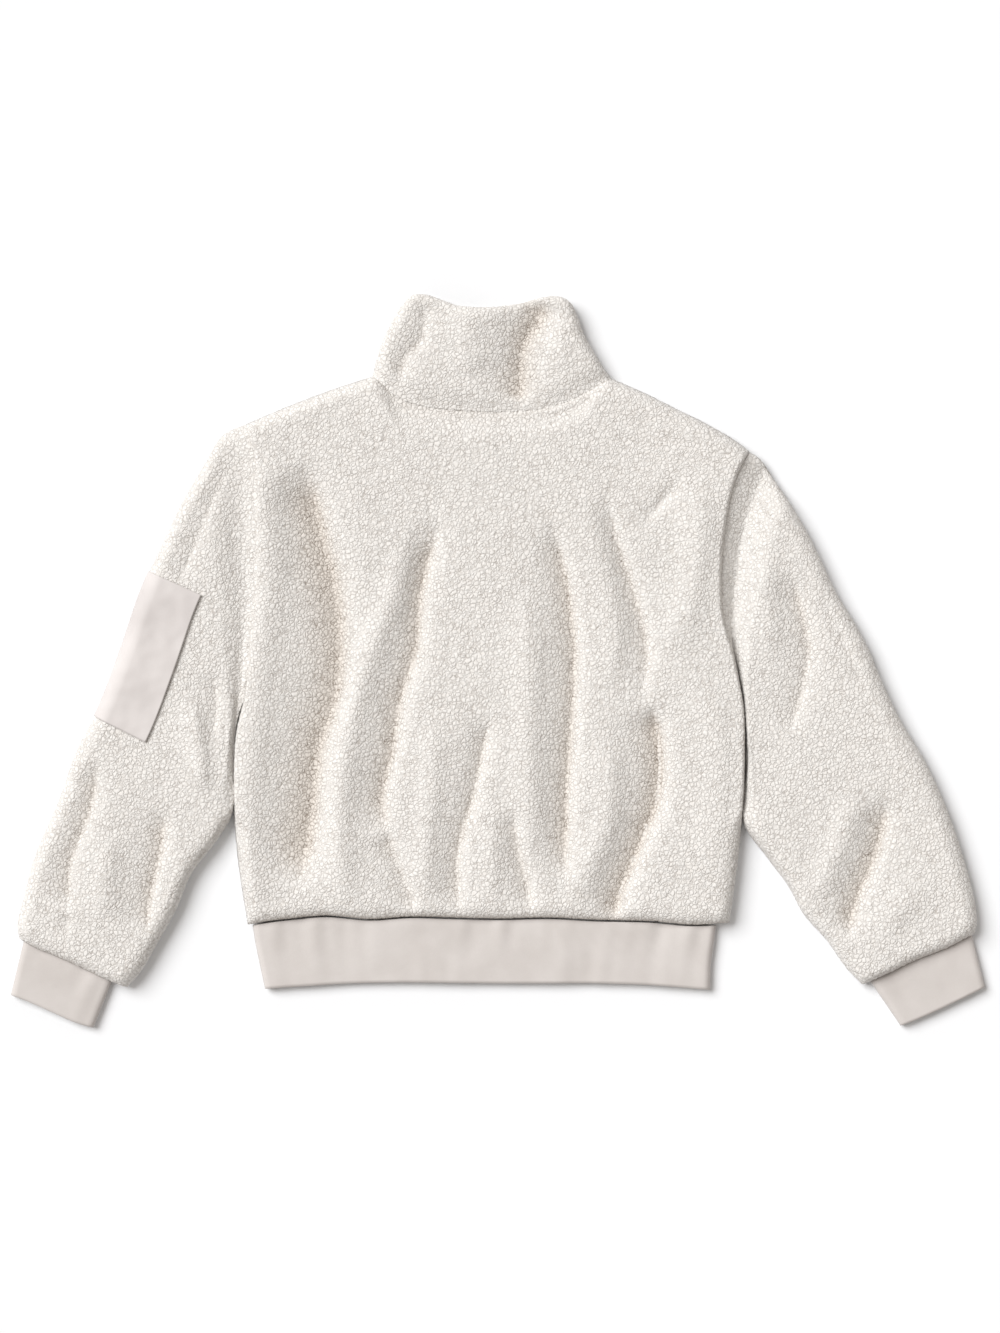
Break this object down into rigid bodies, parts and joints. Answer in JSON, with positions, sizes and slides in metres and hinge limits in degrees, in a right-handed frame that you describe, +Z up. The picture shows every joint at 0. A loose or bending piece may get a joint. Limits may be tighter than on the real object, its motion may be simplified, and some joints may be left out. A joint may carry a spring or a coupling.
{
  "type": "sherpa fleece pullover",
  "caption": "Boxy sherpa fleece pullover with a stand collar, drop shoulders and smooth knit hem band and cuffs, laid flat with its back up.",
  "frame": {"origin": "middle of the bounding box, on the surface that the garment lies on", "axes": "+Z up out of the surface, through the front to the back panel; +Y from the hem towards the collar; +X towards the wearer's right sleeve, which is the right-hand side of someone looking down at the back"},
  "size_m": [0.978, 0.7342, 0.03],
  "materials": {
    "sherpa": "cream sherpa fleece, small curled clumps of pile",
    "jersey": "smooth double jersey, fine vertical wales",
    "woven": "smooth plain-weave nylon"
  },
  "bodies": {
    "root": {"front": "sherpa", "back": "sherpa", "sleeve_left": "sherpa", "sleeve_right": "sherpa", "collar": "sherpa", "hem_band": "jersey", "cuff_left": "jersey", "cuff_right": "jersey", "sleeve_patch": "woven"}
  },
  "joints": []
}
